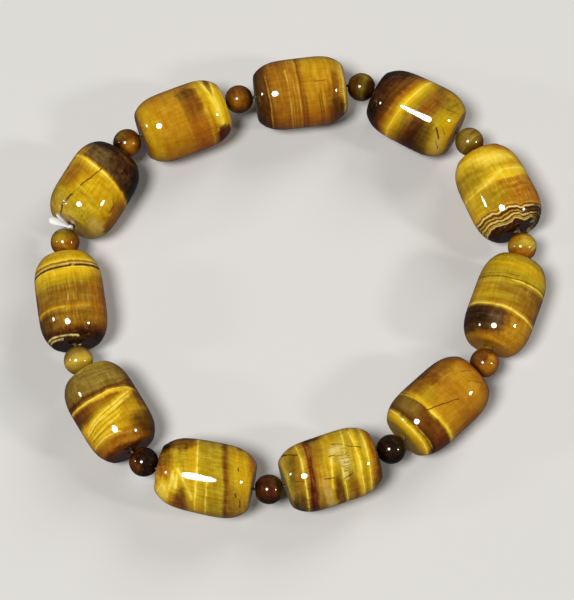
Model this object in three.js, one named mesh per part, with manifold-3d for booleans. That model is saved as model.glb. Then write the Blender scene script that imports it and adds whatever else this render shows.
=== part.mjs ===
import * as THREE from "three";
import { mergeVertices } from "three/addons/utils/BufferGeometryUtils.js";
import Module from "manifold-3d";

// Stretch bracelet of polished tiger's eye lying in a loose oval loop on a table.
// Large barrel beads alternate with small round spacer beads on a white elastic cord.
// Millimetres, Z up, origin on the table under the middle of the loop.

// Barrel beads clockwise from the top of the loop: heading of the bore in degrees, length and diameter.
const barrels = [
  { heading: 8, length: 16.0, diameter: 12.3 },
  { heading: -29, length: 15.8, diameter: 12.3 },
  { heading: -66, length: 15.8, diameter: 12.2 },
  { heading: -110, length: 16.6, diameter: 11.8 },
  { heading: -137, length: 16.6, diameter: 11.9 },
  { heading: -161, length: 16.1, diameter: 12.0 },
  { heading: -192, length: 16.1, diameter: 12.3 },
  { heading: -239, length: 15.9, diameter: 11.8 },
  { heading: -261, length: 16.2, diameter: 11.8 },
  { heading: -299, length: 15.3, diameter: 12.3 },
  { heading: -338, length: 15.6, diameter: 12.1 },
];
const barrelBore = 1.8;
const barrelSides = 18;
const shoulderDrop = 0.34; // loss of radius at the end of the belly curve, as a share of the radius
const shoulderPower = 4.5; // how late along the bead the belly starts to fall away
const endFlat = 0.58; // radius of the flat end, as a share of the radius
const bellySteps = [0.17, 0.5, 0.7, 0.84, 0.96]; // shares of the half length, none at the middle

const spacerDiameter = 5.0;
const spacerBore = 1.6;
const spacerSides = 12;
const spacerSteps = 8;
const spacerOut = 0.6; // the spacers ride a little outside the line between the barrel mouths
const beadGap = 0.3; // between a spacer and the barrel beside it
const knotGap = 0.8; // the wider gap that holds the knot
const knotSpacer = 8; // row of the barrel that comes before the knot

const cordDiameter = 0.7;
const cordSides = 8;
const cordSteps = 96;
const cordOut = 0.3; // the cord runs to the outer side of each barrel mouth
const knotRadius = 0.75;
const knotThickness = 0.5;
const longTail = { out: 3.9, along: 0.7, up: 0.4, neck: 0.2, tip: 0.75, flat: 0.7 };
const shortTail = { out: 2.3, along: 0.75, up: 3.1, neck: 0.2, tip: 0.3, flat: 1.0 };

const stone = new THREE.MeshStandardMaterial({ color: 0xb07c18, roughness: 0.2, metalness: 0 });
const darkStone = new THREE.MeshStandardMaterial({ color: 0x6b4316, roughness: 0.2, metalness: 0 });
const elastic = new THREE.MeshStandardMaterial({ color: 0xf1eee6, roughness: 0.55, metalness: 0 });

const wasm = await Module();
wasm.setup();

const up = new THREE.Vector3(0, 0, 1);

function pointing(degrees) {
  const angle = THREE.MathUtils.degToRad(degrees);
  return new THREE.Vector3(Math.cos(angle), Math.sin(angle), 0);
}

function outward(direction) {
  return new THREE.Vector3(-direction.y, direction.x, 0);
}

// A bored bead of revolution, its bore laid along the heading and one flat side facing the table.
function bead(profile, sides, heading, middle) {
  const closed = [...profile, profile[0]];
  const lathe = new THREE.LatheGeometry(closed, sides, Math.PI / sides);
  lathe.rotateZ(THREE.MathUtils.degToRad(heading - 90));
  lathe.translate(middle.x, middle.y, middle.z);
  return lathe;
}

function barrelProfile(length, diameter) {
  const half = length / 2;
  const radius = diameter / 2;
  const upper = bellySteps.map((share) => {
    const fall = shoulderDrop * share ** shoulderPower;
    return new THREE.Vector2(radius * (1 - fall), half * share);
  });
  upper.push(new THREE.Vector2(radius * endFlat, half));
  upper.push(new THREE.Vector2(barrelBore / 2, half));
  const lower = upper.map((point) => new THREE.Vector2(point.x, -point.y)).reverse();
  return [...lower, ...upper];
}

function spacerProfile() {
  const radius = spacerDiameter / 2;
  const start = Math.asin(spacerBore / spacerDiameter);
  const sweep = Math.PI - 2 * start;
  return Array.from({ length: spacerSteps + 1 }, (_, step) => {
    const angle = start + (sweep * step) / spacerSteps;
    return new THREE.Vector2(radius * Math.sin(angle), -radius * Math.cos(angle));
  });
}

function solidOf(geometry) {
  const loose = geometry.index ? geometry.toNonIndexed() : geometry;
  const bare = new THREE.BufferGeometry();
  bare.setAttribute("position", loose.getAttribute("position"));
  const merged = mergeVertices(bare, 1e-4);
  const mesh = new wasm.Mesh({
    numProp: 3,
    vertProperties: merged.getAttribute("position").array,
    triVerts: new Uint32Array(merged.index.array),
  });
  return new wasm.Manifold(mesh);
}

function geometryOf(solid) {
  const mesh = solid.getMesh();
  const geometry = new THREE.BufferGeometry();
  geometry.setAttribute("position", new THREE.BufferAttribute(mesh.vertProperties, 3));
  geometry.setIndex(new THREE.BufferAttribute(mesh.triVerts, 1));
  geometry.computeVertexNormals();
  return geometry;
}

// The beads are laid end to end, each joint turning half way between its two barrels.
// What the rounded headings leave open at the end is shared out along the loop.
const count = barrels.length;
const joints = barrels.map((row, index) => {
  const next = barrels[(index + 1) % count];
  const nextHeading = index === count - 1 ? next.heading - 360 : next.heading;
  const heading = (row.heading + nextHeading) / 2;
  const reach = beadGap + spacerDiameter + (index === knotSpacer ? knotGap : beadGap);
  return { heading, reach };
});
const middles = [new THREE.Vector3()];
barrels.forEach((row, index) => {
  const next = barrels[(index + 1) % count];
  const middle = middles[index].clone();
  middle.addScaledVector(pointing(row.heading), row.length / 2);
  middle.addScaledVector(pointing(joints[index].heading), joints[index].reach);
  middle.addScaledVector(pointing(next.heading), next.length / 2);
  middles.push(middle);
});
const leftOpen = middles.pop();
barrels.forEach((row, index) => {
  row.middle = middles[index].addScaledVector(leftOpen, -index / count);
  row.middle.z = (row.diameter / 2) * Math.cos(Math.PI / barrelSides);
});

const bracelet = new THREE.Group();
bracelet.name = "bracelet";

function addMesh(name, geometry, material) {
  const mesh = new THREE.Mesh(geometry, material);
  mesh.name = name;
  bracelet.add(mesh);
}

function mouth(row, side) {
  return row.middle.clone().addScaledVector(pointing(row.heading), (side * row.length) / 2);
}

const spacerMiddles = barrels.map((row, index) => {
  const next = barrels[(index + 1) % count];
  const start = mouth(row, 1);
  const line = mouth(next, -1).sub(start);
  const share = index === knotSpacer ? beadGap + spacerDiameter / 2 : line.length() / 2;
  const middle = start.addScaledVector(line.normalize(), share);
  middle.addScaledVector(outward(pointing(joints[index].heading)), spacerOut);
  middle.z = (row.middle.z + next.middle.z) / 2;
  return middle;
});

barrels.forEach((row, index) => {
  const number = String(index + 1).padStart(2, "0");
  const belly = bead(barrelProfile(row.length, row.diameter), barrelSides, row.heading, row.middle);
  addMesh(`barrel_bead_${number}`, belly, stone);
  const round = bead(spacerProfile(), spacerSides, joints[index].heading, spacerMiddles[index]);
  addMesh(`spacer_bead_${number}`, round, darkStone);
});

// The knot lies in the wider gap between a spacer and the barrel after it.
const knotLine = pointing(joints[knotSpacer].heading);
const knotMiddle = spacerMiddles[knotSpacer].clone();
knotMiddle.addScaledVector(outward(knotLine), -spacerOut / 2);
knotMiddle.addScaledVector(knotLine, spacerDiameter / 2 + knotGap / 2);

function cordRoute() {
  const route = [knotMiddle];
  for (let step = 1; step <= count; step += 1) {
    const index = (knotSpacer + step) % count;
    const row = barrels[index];
    const direction = pointing(row.heading);
    for (const share of [-1, -0.5, 0.5, 1]) {
      const point = row.middle.clone().addScaledVector(direction, (share * row.length) / 2);
      point.addScaledVector(outward(direction), cordOut * share ** 4);
      route.push(point);
    }
    route.push(spacerMiddles[index]);
  }
  route.push(knotMiddle);
  return new THREE.CatmullRomCurve3(route);
}

function roundSection(diameter, sides) {
  const corners = Array.from({ length: sides }, (_, side) => {
    const angle = (2 * Math.PI * side) / sides;
    return new THREE.Vector2((diameter / 2) * Math.cos(angle), (diameter / 2) * Math.sin(angle));
  });
  return new THREE.Shape(corners);
}

// A cut end of the cord: a thin neck at the knot that swells to a rounded tip.
function tail({ out, along, up: rise, neck, tip, flat }) {
  const reach = outward(knotLine).multiplyScalar(out);
  reach.addScaledVector(knotLine, along);
  reach.addScaledVector(up, rise);
  const length = reach.length();
  const profile = [
    new THREE.Vector2(0, 0),
    new THREE.Vector2(neck, 0),
    new THREE.Vector2(neck, length * 0.35),
    new THREE.Vector2((neck + tip) / 2, length * 0.62),
    new THREE.Vector2(tip, length * 0.85),
    new THREE.Vector2(tip * 0.6, length * 0.97),
    new THREE.Vector2(0, length),
  ];
  const lathe = new THREE.LatheGeometry(profile, cordSides);
  lathe.scale(1, 1, flat);
  lathe.applyQuaternion(new THREE.Quaternion().setFromUnitVectors(
    new THREE.Vector3(0, 1, 0),
    reach.normalize(),
  ));
  lathe.translate(knotMiddle.x, knotMiddle.y, knotMiddle.z);
  return lathe;
}

const loop = new THREE.ExtrudeGeometry(roundSection(cordDiameter, cordSides), {
  steps: cordSteps,
  extrudePath: cordRoute(),
});
const knot = new THREE.SphereGeometry(knotRadius, 10, 8);
knot.scale(knotThickness / (2 * knotRadius), 1, 1);
knot.rotateZ(THREE.MathUtils.degToRad(joints[knotSpacer].heading));
knot.translate(knotMiddle.x, knotMiddle.y, knotMiddle.z);
const cord = [knot, tail(longTail), tail(shortTail)]
  .map(solidOf)
  .reduce((joined, piece) => joined.add(piece), solidOf(loop));
addMesh("elastic_cord", geometryOf(cord), elastic);

const box = new THREE.Box3().setFromObject(bracelet);
bracelet.position.set(-(box.min.x + box.max.x) / 2, -(box.min.y + box.max.y) / 2, -box.min.z);

export default bracelet;
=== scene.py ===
import math
from functools import partial
import bpy
import numpy as np
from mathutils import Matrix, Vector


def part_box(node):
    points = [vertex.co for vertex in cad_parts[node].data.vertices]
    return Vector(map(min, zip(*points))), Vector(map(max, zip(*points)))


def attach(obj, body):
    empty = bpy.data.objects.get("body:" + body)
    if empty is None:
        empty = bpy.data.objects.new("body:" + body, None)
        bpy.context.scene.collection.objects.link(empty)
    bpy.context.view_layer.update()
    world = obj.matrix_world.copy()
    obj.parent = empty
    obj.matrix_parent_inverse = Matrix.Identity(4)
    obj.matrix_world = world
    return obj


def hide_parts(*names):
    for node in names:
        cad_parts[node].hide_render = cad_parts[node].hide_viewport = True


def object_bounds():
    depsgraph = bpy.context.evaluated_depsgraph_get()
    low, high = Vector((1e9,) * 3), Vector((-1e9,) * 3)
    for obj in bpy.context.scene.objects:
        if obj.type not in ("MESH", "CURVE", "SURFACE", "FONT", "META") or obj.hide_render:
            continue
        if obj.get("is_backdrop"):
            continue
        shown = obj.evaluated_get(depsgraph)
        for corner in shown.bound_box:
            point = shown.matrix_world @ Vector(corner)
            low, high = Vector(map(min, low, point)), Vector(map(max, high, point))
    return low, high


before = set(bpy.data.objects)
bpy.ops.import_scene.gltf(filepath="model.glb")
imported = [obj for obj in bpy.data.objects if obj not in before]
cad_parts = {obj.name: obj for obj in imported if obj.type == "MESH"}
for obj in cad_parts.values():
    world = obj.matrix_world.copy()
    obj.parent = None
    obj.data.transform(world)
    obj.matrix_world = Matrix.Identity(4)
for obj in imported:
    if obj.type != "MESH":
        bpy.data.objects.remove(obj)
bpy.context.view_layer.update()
scene = bpy.context.scene
scene.view_settings.view_transform = "Standard"
mm = 0.001
up = np.array([0.0, 0.0, 1.0])
print("frame loaded:", len(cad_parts), "solids")


def linear(hexColour):
    # sRGB hex to linear light
    parts = [int(hexColour[i:i + 2], 16) / 255 for i in (1, 3, 5)]
    return tuple(c / 12.92 if c <= 0.04045 else ((c + 0.055) / 1.055) ** 2.4 for c in parts) + (1.0,)


def addNode(tree, kind, inputs, output=0, **settings):
    # settings are the node's own properties; an input that is a socket is linked, anything else is set
    node = tree.nodes.new("ShaderNode" + kind)
    for key, value in settings.items():
        setattr(node, key, value)
    for key, value in inputs.items():
        if isinstance(value, bpy.types.NodeSocket):
            tree.links.new(value, node.inputs[key])
        else:
            node.inputs[key].default_value = value
    return node.outputs[output] if len(node.outputs) else node


def newMaterial(name):
    # an empty material, and addNode for its tree
    material = bpy.data.materials.new(name)
    material.use_nodes = True
    material.node_tree.nodes.clear()
    return material, partial(addNode, material.node_tree)


def middleOf(node):
    # middle of a solid, in mm
    low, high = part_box(node)
    return np.array((low + high) / 2) / mm


def headed(degrees):
    # level direction at an angle from +X
    turn = math.radians(degrees)
    return np.array([math.cos(turn), math.sin(turn), 0.0])


def putGrid(name, points, material, uvRows=None, closedAcross=True):
    # points is a rows x columns x 3 array in mm: columns close on themselves, rows too where closedAcross;
    # the UV map runs once round the columns, and once along uvRows or all the rows
    rows, columns = points.shape[:2]

    def uvOf(row, column):
        return np.stack([column / columns, row / (uvRows or rows)], -1)

    i, j = np.indices((rows if closedAcross else rows - 1, columns)).reshape(2, -1, 1)
    i, j = i + [0, 0, 1, 1], j + [0, 1, 1, 0]  # the four corners of each quad
    quads = i % rows * columns + j % columns
    quadUv = uvOf(i, j)
    flat = points.reshape(-1, 3)
    a, b, c, d = flat[quads].transpose(1, 0, 2)
    volume = np.einsum("ij,ij->", a, np.cross(b, c) + np.cross(c, d))
    caps = np.empty((0, 3), int)
    if not closedAcross:  # each open end closes on one pole
        here = np.arange(columns)
        beside = (here + 1) % columns
        far = len(flat) - columns
        poles = len(flat) + np.zeros((2, columns), int) + [[0], [1]]
        flat = np.concatenate([flat, points[:1].mean(1), points[-1:].mean(1)])
        nearCap = np.stack([beside, here, poles[0]], 1)
        farCap = np.stack([far + here, far + beside, poles[1]], 1)
        caps = np.concatenate([nearCap, farCap])
    capUv = uvOf(caps // columns, caps % columns)
    if volume < 0:  # faces point outward
        quads, quadUv, caps, capUv = (v[:, ::-1] for v in (quads, quadUv, caps, capUv))
    mesh = bpy.data.meshes.new(name)
    mesh.from_pydata((flat * mm).tolist(), [], quads.tolist() + caps.tolist())
    cornerUv = np.concatenate([quadUv.reshape(-1), capUv.reshape(-1)]).astype(np.float32)
    mesh.uv_layers.new(name="around").data.foreach_set("uv", cornerUv)
    mesh.polygons.foreach_set("use_smooth", np.ones(len(mesh.polygons), bool))
    mesh.materials.append(material)
    piece = bpy.data.objects.new(name, mesh)
    scene.collection.objects.link(piece)
    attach(piece, "root")
    return piece


# camera at the photograph's angle, looking down over the near side of the loop; mm and degrees
cameraSet = {
    "elevation": 70.0, "distance": 458.1, "target": (-0.54, -1.34, 0.0),
    "lens": 157.4, "sensor": 36.0, "clip": (10.0, 20000.0),
}


def makeCamera(spec):
    data = bpy.data.cameras.new("camera")
    data.lens, data.sensor_width = spec["lens"], spec["sensor"]
    data.clip_start, data.clip_end = (far * mm for far in spec["clip"])
    camera = bpy.data.objects.new("camera", data)
    tilt = math.radians(spec["elevation"])
    back = np.array([0.0, -math.cos(tilt), math.sin(tilt)]) * spec["distance"]
    camera.location = (np.array(spec["target"]) + back) * mm
    camera.rotation_euler = (math.pi / 2 - tilt, 0.0, 0.0)
    scene.collection.objects.link(camera)
    scene.camera = camera


makeCamera(cameraSet)
print("camera set")

# stone tints, from nearly black layers to silk, a pale fibre colour brightened by painted sheen where a fibre
# band is lit
tints = {
    "pitch": "#1a0d07", "umber": "#3a1c08", "garnet": "#58150a", "smoke": "#4a3822", "bark": "#4d2f0a",
    "ash": "#614c28", "brown": "#6a3a0a", "oliveDark": "#6f5912", "rust": "#7e3d08", "beige": "#866a26",
    "hazel": "#8f6616", "toffee": "#96600f", "honeyBrown": "#a56c12", "amber": "#a8620c", "olive": "#a98b14",
    "honey": "#b58013", "straw": "#c0a032", "gold": "#c49a0e", "goldBright": "#e2ba20", "cream": "#e6d082",
    "silk": "#f7da56",
}
brightTints = ("silk", "goldBright", "straw", "cream")
crackTint = "umber"  # a streak of this tint that runs along the bore is an open crack

# Barrel beads in mm on the bead: x runs along the bore, clockwise round the loop, y points out of the loop.
#   heading, length, diameter: of the solid, the heading in degrees
#   taper, crown: gain of radius per mm along x, and loss at the ends, on the upper side
#   dents: x, y, size, depth
#   bands: x, tint; lean: how far they shift along x for each mm of y
#   patches: x, y, half sizes, softness, tint, share; shades: the same, painted over the lines
#   streaks: from x, y to x, y, width, tint, share; threads: points, width, tint, share
#   contours: x, width, tint, share of lines that share one ripple, of that height, and lean by contourLean
#   pits: x, y, half sizes of a field of dark specks
#   grain: contrast of layers, fibres and clouds; depth: strength of the painted shade that darkens the sides
#       and underside against the top
barrelBeads = {
    # honey brown with a bundle of fine pale lines before the middle
    "barrel_bead_01": {
        "heading": 8, "length": 16.0, "diameter": 12.3, "lean": -0.05, "depth": 0.25,
        "grain": (0.99, 0.4, 0.44),
        "bands": [(-8, "umber"), (-7.2, "bark"), (-6.0, "brown"), (-5.0, "toffee"), (-3.0, "toffee"),
            (-2.4, "honeyBrown"), (-0.8, "honeyBrown"), (-0.2, "toffee"), (0.35, "toffee"), (0.8, "honey"),
            (3.0, "honey"), (5.0, "honey"), (5.8, "toffee"), (6.2, "toffee"), (6.6, "honey"), (7.3, "straw"),
            (8, "honeyBrown")],
        "patches": [(5.9, -5.6, 1.7, 1.9, 0.4, "umber", 0.8), (6.1, -1.0, 0.5, 4.2, 0.6, "brown", 0.5),
            (1.5, -6.4, 4.5, 1.6, 0.7, "amber", 0.7), (3.5, 3.5, 3.5, 3.0, 0.7, "gold", 0.5),
            (5.0, -4.0, 0.8, 2.2, 0.6, "brown", 0.5)],
        "streaks": [(-6.1, 1.5, -5.5, -7, 0.26, "straw", 0.7), (-2.45, 2.0, -2.1, -7, 0.3, "straw", 0.9),
            (-2.15, 7, -1.65, -7, 0.2, "straw", 0.5), (-1.6, 7, -1.15, -7, 0.18, "straw", 0.5),
            (-0.9, 7, -0.45, -7, 0.26, "straw", 0.9), (-0.45, 7, -0.05, -7, 0.3, "brown", 0.5),
            (0.45, -3, 0.75, -7, 0.22, "brown", 0.8), (2.85, -3, 3.1, -7, 0.26, "brown", 0.7),
            (3.25, -2.5, 3.5, -7, 0.2, "brown", 0.6), (2.4, -0.9, 4.3, -0.8, 0.2, "brown", 0.8),
            (7.45, 7, 7.35, -7, 0.35, "cream", 0.7)],
    },
    # dark end, one bright band across and an olive end with short cracks
    "barrel_bead_02": {
        "heading": -29, "length": 15.8, "diameter": 12.3, "lean": 0.27, "taper": 0.045, "crown": 0.12,
        "grain": (0.88, 0.48, 0.55),
        "bands": [(-8, "pitch"), (-6.7, "umber"), (-5.4, "umber"), (-4.2, "bark"), (-3.2, "brown"),
            (-2.3, "honeyBrown"), (-1.7, "gold"), (-1.05, "goldBright"), (-0.35, "gold"), (0.4, "olive"),
            (1.3, "hazel"), (2.1, "brown"), (3.4, "brown"), (4.2, "hazel"), (5.0, "olive"), (6.5, "gold"),
            (8, "gold")],
        "patches": [(3.1, -5.0, 2.2, 2.6, 0.45, "umber", 0.75), (-0.3, -4.4, 0.6, 2.2, 0.5, "brown", 0.5),
            (5.0, 4.6, 1.6, 1.6, 0.6, "gold", 0.6), (2.4, -0.9, 1.2, 1.6, 0.6, "toffee", 0.6),
            (-4.2, 0.2, 1.2, 2.0, 0.7, "brown", 0.5), (6.5, -5.3, 1.5, 2.2, 0.4, "straw", 0.8),
            (6.7, -5.4, 0.9, 1.6, 0.6, "cream", 0.4), (-7.2, -5.2, 1.5, 2.6, 0.5, "pitch", 0.9),
            (-6.9, 4.8, 2.2, 2.2, 0.5, "pitch", 0.9), (3.0, 3.0, 1.2, 2.5, 0.6, "hazel", 0.6),
            (6.2, 1.6, 1.1, 1.4, 0.6, "oliveDark", 0.5)],
        "streaks": [(0.85, 7, -2.95, -7, 0.34, "silk", 1.0), (4.35, 7, 4.35, -7, 0.3, "straw", 0.15),
            (5.2, -2.9, 6.3, -3.9, 0.3, "umber", 0.95), (6.0, -4.4, 6.7, -4.9, 0.2, "oliveDark", 0.8),
            (5.5, 0.7, 7.3, 1.5, 0.22, "oliveDark", 0.9), (5.7, -2.2, 7.2, -3.0, 0.14, "oliveDark", 0.8),
            (-6.3, 2.0, -4.2, 3.1, 0.25, "smoke", 0.8), (5.6, 3.6, 7.0, 2.4, 0.2, "oliveDark", 0.8)],
    },
    # bright silk, then a stack of folded lines before a dark end
    "barrel_bead_03": {
        "heading": -66, "length": 15.8, "diameter": 12.2, "lean": 0.05, "taper": 0.043, "crown": 0.2,
        "depth": 0.2, "grain": (0.99, 0.95, 0.77), "ripple": 1.4, "contourLean": (1.0, -0.16, 0.0),
        "bands": [(-8, "honeyBrown"), (-7.2, "gold"), (-6.2, "goldBright"), (-5.0, "goldBright"),
            (-3.6, "gold"), (-2.4, "gold"), (-1.0, "goldBright"), (-0.35, "goldBright"), (0.1, "honey"),
            (1.5, "honeyBrown"), (3.8, "honeyBrown"), (4.8, "honeyBrown"), (5.4, "toffee"), (6.4, "toffee"),
            (7.2, "brown"), (7.6, "umber"), (8, "umber")],
        "patches": [(2.6, 4.8, 2.6, 2.4, 0.5, "amber", 0.45), (2.2, -5.5, 2.8, 2.2, 0.5, "goldBright", 0.85),
            (2.2, -2.6, 1.9, 2.8, 0.6, "olive", 0.8), (-2.6, -4.4, 2.2, 2.8, 0.6, "olive", 0.9),
            (-6.6, 4.5, 1.8, 3.0, 0.6, "amber", 0.7), (-4.4, 0.8, 1.1, 2.4, 0.6, "silk", 0.5)],
        "shades": [(6.5, 4.4, 0.55, 3.2, 0.35, "umber", 0.9), (7.7, 5.0, 0.7, 2.4, 0.4, "umber", 0.95)],
        "streaks": [(-3.9, 4.0, -6.6, -5.2, 1.1, "silk", 0.6), (-1.3, 5.5, -1.7, 1.0, 0.5, "silk", 0.6),
            (-1.7, 1.0, -0.3, -2.5, 0.8, "silk", 0.5), (-0.3, -2.5, 0.0, -5.5, 0.35, "silk", 0.9),
            (0.0, -5.5, -1.0, -7.0, 0.4, "silk", 0.8), (0.1, 1.7, 1.6, 1.9, 0.2, "goldBright", 0.6),
            (0.4, 2.3, 1.4, 2.3, 0.15, "goldBright", 0.5)],
        "contours": [(4.75, 0.2, "straw", 0.5), (5.08, 0.3, "brown", 0.8), (5.4, 0.28, "cream", 0.95),
            (5.78, 0.42, "umber", 0.95), (6.12, 0.2, "straw", 0.9), (6.36, 0.16, "umber", 0.9),
            (6.64, 0.28, "cream", 0.85), (6.88, 0.12, "umber", 0.8), (7.08, 0.22, "straw", 0.9),
            (7.32, 0.22, "cream", 0.9), (7.72, 0.5, "umber", 0.95), (8.2, 0.8, "umber", 0.95)],
    },
    # olive with a fine double line, and a bright arc over a dark half
    "barrel_bead_04": {
        "heading": -110, "length": 16.6, "diameter": 11.8, "lean": 0.0, "depth": 0.15,
        "grain": (0.99, 0.64, 0.55),
        "bands": [(-8.3, "toffee"), (-7.2, "olive"), (-5.5, "gold"), (-3.9, "olive"), (-2.9, "olive"),
            (-2.2, "olive"), (-0.8, "hazel"), (0.8, "olive"), (2.0, "toffee"), (2.5, "straw"),
            (3.0, "brown"), (4.0, "brown"), (6.3, "brown"), (7.2, "honeyBrown"), (8.3, "honey")],
        "patches": [(5.6, 4.8, 3.2, 3.6, 0.5, "honey", 0.9), (-1.9, 4.6, 0.8, 3.4, 0.5, "brown", 0.75),
            (1.1, 5.2, 1.4, 2.0, 0.5, "brown", 0.8), (0.9, 4.0, 1.3, 2.4, 0.6, "toffee", 0.5),
            (8.1, 1.5, 0.9, 7.0, 0.5, "honey", 0.5), (6.0, 6.0, 2.6, 1.5, 0.5, "honey", 0.8),
            (5.3, -3.8, 2.5, 3.6, 0.45, "pitch", 0.85), (5.0, -0.4, 1.8, 1.6, 0.7, "smoke", 0.8),
            (0.3, 3.4, 2.0, 2.8, 0.6, "hazel", 0.55), (0.0, -4.2, 2.2, 2.0, 0.6, "gold", 0.6)],
        "streaks": [(-2.9, 0, -2.4, -6, 0.24, "brown", 0.8), (-3.05, 7, -2.65, 0, 0.3, "silk", 0.8),
            (-2.65, 0, -1.9, -6, 0.2, "straw", 0.8), (-3.7, 1, -3.0, -6, 0.18, "brown", 0.7),
            (-3.5, 7, -2.9, 0, 0.22, "brown", 0.85), (3.15, 7, 2.4, 0.5, 0.36, "silk", 0.9),
            (2.4, 0.5, 2.75, -7, 0.3, "silk", 0.9), (-1.9, 3.2, -1.5, 3.2, 0.16, "straw", 0.7)],
    },
    # even honey brown with a crack, a brown band and a bright line near the end
    "barrel_bead_05": {
        "heading": -137, "length": 16.6, "diameter": 11.9, "lean": -0.03, "grain": (0.44, 0.4, 0.66),
        "bands": [(-8.3, "brown"), (-7.4, "honeyBrown"), (-5.0, "honey"), (-2.0, "honeyBrown"),
            (1.2, "honey"), (2.2, "honey"), (2.95, "goldBright"), (3.4, "brown"), (4.6, "brown"),
            (5.6, "brown"), (6.4, "bark"), (6.8, "hazel"), (7.1, "gold"), (7.3, "goldBright"), (7.8, "gold"),
            (8.3, "olive")],
        "patches": [(-2.2, -5.6, 6.0, 3.5, 0.35, "brown", 0.65), (-1.0, -6.4, 4.5, 1.6, 0.5, "umber", 0.5),
            (1.4, -1.2, 1.4, 1.4, 0.7, "olive", 0.6), (4.6, 5.6, 1.3, 1.8, 0.5, "rust", 0.5),
            (4.8, -4.0, 1.4, 3.8, 0.5, "beige", 0.8)],
        "streaks": [(2.35, 7, 3.05, 1.0, 0.45, "silk", 0.8), (3.05, 1.0, 3.3, -2.5, 0.3, "goldBright", 0.8),
            (3.3, -2.5, 4.1, -7, 0.5, "goldBright", 0.8), (7.15, 7, 7.35, 0, 0.3, "silk", 1.0),
            (7.35, 0, 6.8, -7, 0.3, "silk", 1.0), (6.35, 5, 6.5, 1, 0.2, "goldBright", 0.6),
            (-2.0, 2.5, 0.6, 1.45, 0.2, "umber", 0.9), (0.6, 1.45, 3.4, 0.4, 0.26, "umber", 0.9),
            (-7.3, 2.9, -5.3, 1.3, 0.2, "brown", 0.8), (-7.1, 0.3, -5.6, -0.7, 0.2, "brown", 0.8),
            (-5.6, -1.5, 0.4, -2.2, 0.6, "straw", 0.35)],
    },
    # many bright lines, a garnet band and a cluster of short cracks
    "barrel_bead_06": {
        "heading": -161, "length": 16.1, "diameter": 12.0, "lean": 0.15, "depth": 0.2,
        "grain": (1.1, 0.56, 0.66), "pits": (-2.4, 1.2, 2.0, 2.6),
        "bands": [(-8.05, "brown"), (-7.0, "toffee"), (-6.4, "gold"), (-5.3, "olive"), (-4.5, "goldBright"),
            (-3.8, "olive"), (-2.5, "olive"), (-0.9, "olive"), (0.2, "gold"), (1.6, "olive"), (2.8, "hazel"),
            (3.4, "garnet"), (3.9, "toffee"), (5.0, "olive"), (5.8, "hazel"), (6.9, "oliveDark"),
            (8.05, "straw")],
        "patches": [(-1.6, -1.0, 2.2, 2.2, 0.6, "straw", 0.55), (-1.7, 3.0, 0.5, 0.9, 0.5, "cream", 0.7),
            (-2.2, 1.0, 0.7, 1.1, 0.6, "cream", 0.65), (-2.5, -0.6, 0.8, 0.9, 0.6, "straw", 0.7),
            (-1.0, -1.5, 0.9, 0.7, 0.6, "cream", 0.55), (2.0, 4.9, 0.6, 1.9, 0.5, "cream", 0.7),
            (1.3, 2.9, 0.5, 1.3, 0.6, "straw", 0.7), (-1.5, -4.4, 2.6, 1.6, 0.5, "gold", 0.8),
            (2.2, -2.6, 1.6, 1.6, 0.6, "toffee", 0.5), (2.2, 2.5, 0.9, 3.0, 0.6, "honey", 0.7),
            (-0.2, 3.4, 0.7, 1.4, 0.6, "oliveDark", 0.6), (-2.6, 4.8, 0.8, 2.0, 0.5, "toffee", 0.8),
            (0.0, 4.9, 0.8, 1.8, 0.4, "brown", 0.85), (5.0, 3.4, 0.6, 3.2, 0.5, "brown", 0.7),
            (1.4, -5.5, 1.5, 1.3, 0.4, "umber", 0.85), (6.0, -5.0, 2.0, 1.8, 0.6, "gold", 0.7),
            (6.5, 5.0, 1.6, 1.4, 0.5, "umber", 0.65)],
        "streaks": [(-5.2, 7, -6.35, 0, 0.32, "silk", 0.9), (-6.35, 0, -6.6, -7, 0.3, "silk", 0.9),
            (-3.9, 7, -4.6, 1, 0.34, "silk", 1.0), (-4.6, 1, -4.5, -4, 0.34, "silk", 0.9),
            (-0.9, 7, -1.4, 2.0, 0.26, "silk", 0.9), (1.1, 4.2, 0.2, 1.0, 0.4, "silk", 1.0),
            (0.2, 1.0, -0.4, -0.8, 0.34, "silk", 0.9), (-2.8, -1.6, -3.9, -7, 0.34, "silk", 0.9),
            (5.1, 7, 3.75, 0, 0.5, "garnet", 1.0), (3.75, 0, 2.9, -7, 0.5, "garnet", 0.9),
            (5.0, 6.5, 4.3, 3.2, 0.9, "garnet", 0.8), (5.9, 7, 4.7, -1.5, 0.3, "silk", 0.8),
            (4.7, -1.5, 4.5, -7, 0.3, "silk", 0.8), (0.4, 2.9, 2.1, 2.7, 0.2, "umber", 0.9),
            (-0.9, -0.6, 0.1, -0.7, 0.24, "umber", 0.9), (-2.9, 3.1, -1.2, 3.5, 0.2, "umber", 0.8),
            (-3.0, 1.9, -1.5, 1.7, 0.16, "oliveDark", 0.8), (-2.8, 0.6, -1.4, 0.4, 0.18, "oliveDark", 0.9),
            (-2.6, -0.1, -1.1, -0.3, 0.16, "oliveDark", 0.8), (-2.7, 1.3, -1.9, 1.2, 0.22, "oliveDark", 0.8),
            (-2.1, 2.5, -1.4, 2.4, 0.2, "oliveDark", 0.8), (-3.2, -1.0, -2.2, -1.2, 0.16, "oliveDark", 0.7),
            (-1.8, -2.0, -0.6, -2.0, 0.14, "oliveDark", 0.6), (-5.5, -0.6, -3.6, -1.3, 0.22, "umber", 0.8),
            (-3.6, -1.3, -2.4, -2.2, 0.18, "umber", 0.7), (-2.6, -2.0, -0.6, -2.8, 0.16, "oliveDark", 0.8),
            (5.0, -2.8, 6.4, -3.8, 0.28, "umber", 0.9), (6.4, -3.8, 7.7, -4.7, 0.4, "umber", 1.0),
            (5.4, 2.0, 7.2, 1.0, 0.18, "umber", 0.6)],
    },
    # straight lines, a brown band and a bright zigzag at one end
    "barrel_bead_07": {
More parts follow.
